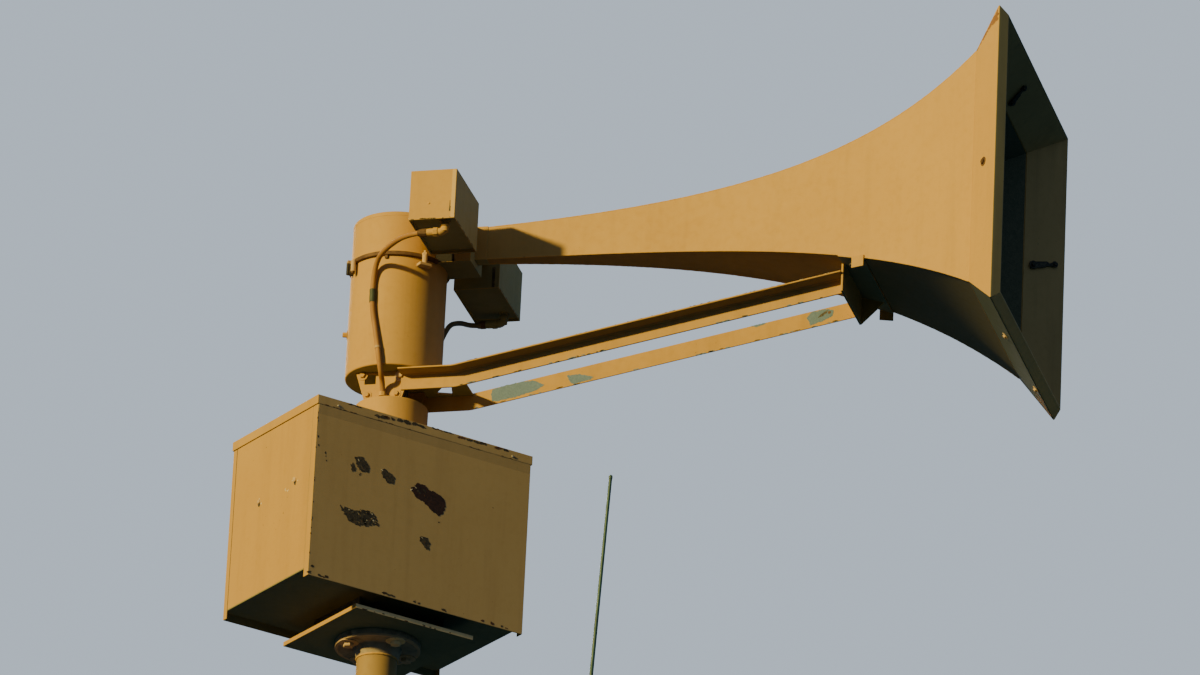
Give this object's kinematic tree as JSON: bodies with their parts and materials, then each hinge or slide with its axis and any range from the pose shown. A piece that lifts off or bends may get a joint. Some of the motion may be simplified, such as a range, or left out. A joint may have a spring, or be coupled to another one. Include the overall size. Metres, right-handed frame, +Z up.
{
  "type": "civil defense siren tower",
  "caption": "Rotating horn warning siren on a tall stepped steel mast, with a sheet drive housing, strut braced square horn, conduits and a whip antenna.",
  "frame": {"origin": "centre of the underside of the mast's base plate", "axes": "+Z up along the mast, +X along the horn towards its mouth at rest"},
  "size_m": [2.2661, 0.886, 13.847],
  "materials": {
    "mast_paint": "weathered tan gloss paint",
    "bare_steel": "dull galvanised steel",
    "housing_paint": "chipped tan paint over dark primer",
    "head_paint": "weathered tan paint",
    "horn_paint": "weathered tan paint, bare inside",
    "strut_paint": "tan paint flaked to bare metal",
    "conduit_paint": "overpainted flexible conduit",
    "arm_steel": "galvanised steel",
    "whip_plastic": "dark green fibreglass"
  },
  "bodies": {
    "mast": {"mast_base_plate": "mast_paint", "mast_base_gussets": "mast_paint", "mast_lower_tube": "mast_paint", "mast_middle_tube": "mast_paint", "mast_upper_tube": "mast_paint", "mast_reducers": "mast_paint", "mast_top_flange": "bare_steel", "mounting_plate": "housing_paint", "standoff_channels": "bare_steel", "housing_pan": "housing_paint", "housing_front_panel": "housing_paint", "housing_back_panel": "housing_paint", "housing_left_panel": "housing_paint", "housing_right_panel": "housing_paint", "housing_lid": "housing_paint", "bearing_pedestal": "bare_steel", "antenna_clamp": "arm_steel", "antenna_arm": "arm_steel", "antenna_base": "arm_steel", "antenna_whip": "whip_plastic"},
    "siren_head": {"rotating_column": "bare_steel", "rotator_collar": "head_paint", "neck_brackets": "head_paint", "rotor_housing": "head_paint", "rotor_housing_cap": "head_paint", "clamp_band": "head_paint", "throat_housing": "head_paint", "near_valve_box": "head_paint", "far_valve_box": "head_paint", "horn_near_panel": "horn_paint", "horn_far_panel": "horn_paint", "horn_top_panel": "horn_paint", "horn_bottom_panel": "horn_paint", "near_mouth_lip": "horn_paint", "far_mouth_lip": "horn_paint", "top_mouth_lip": "horn_paint", "bottom_mouth_lip": "horn_paint", "near_strut": "strut_paint", "far_strut": "strut_paint", "strut_tie_plate": "strut_paint", "horn_bracket": "strut_paint", "near_conduit": "conduit_paint", "far_conduit": "conduit_paint", "conduit_fittings": "head_paint"}
  },
  "joints": [
    {"name": "head_rotation", "type": "hinge", "parent": "mast", "child": "siren_head", "pos_m": [0, 0, 12.85], "axis": [0, 0, 1], "continuous": true}
  ]
}
